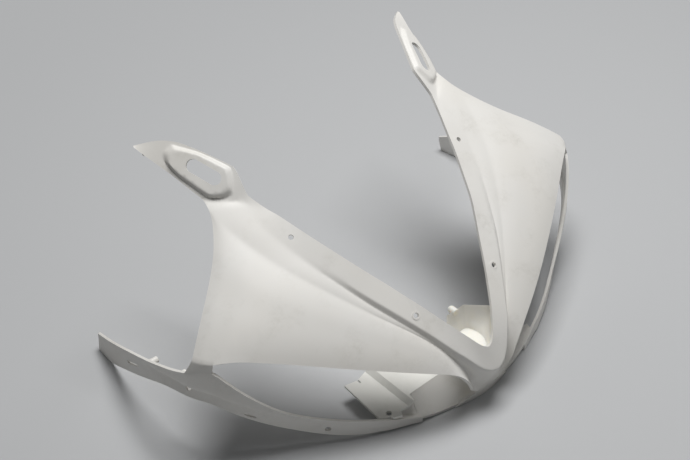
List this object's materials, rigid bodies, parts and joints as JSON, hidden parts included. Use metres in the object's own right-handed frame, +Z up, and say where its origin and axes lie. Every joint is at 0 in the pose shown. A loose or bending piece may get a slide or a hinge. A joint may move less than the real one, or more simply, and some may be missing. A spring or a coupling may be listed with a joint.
{
  "type": "motorcycle fairing",
  "caption": "Upper nose fairing: thin moulded shell with a screen opening, lamp openings, mirror arms, side bands, a nose tray and a lamp plate.",
  "frame": {"origin": "on the plane the fairing rests on, under the middle of its bounding box", "axes": "+X to the rider's left, -Y the front of the motorcycle, +Z up as the fairing rests on its front rim and band tips"},
  "size_m": [0.5412, 0.356, 0.251],
  "materials": {
    "shell_plastic": "bare moulded, satin",
    "tray_plastic": "bare moulded, satin",
    "plate_plastic": "bare moulded, satin"
  },
  "bodies": {
    "root": {"shell": "shell_plastic", "nose_tray": "tray_plastic", "lamp_plate": "plate_plastic"}
  },
  "joints": []
}
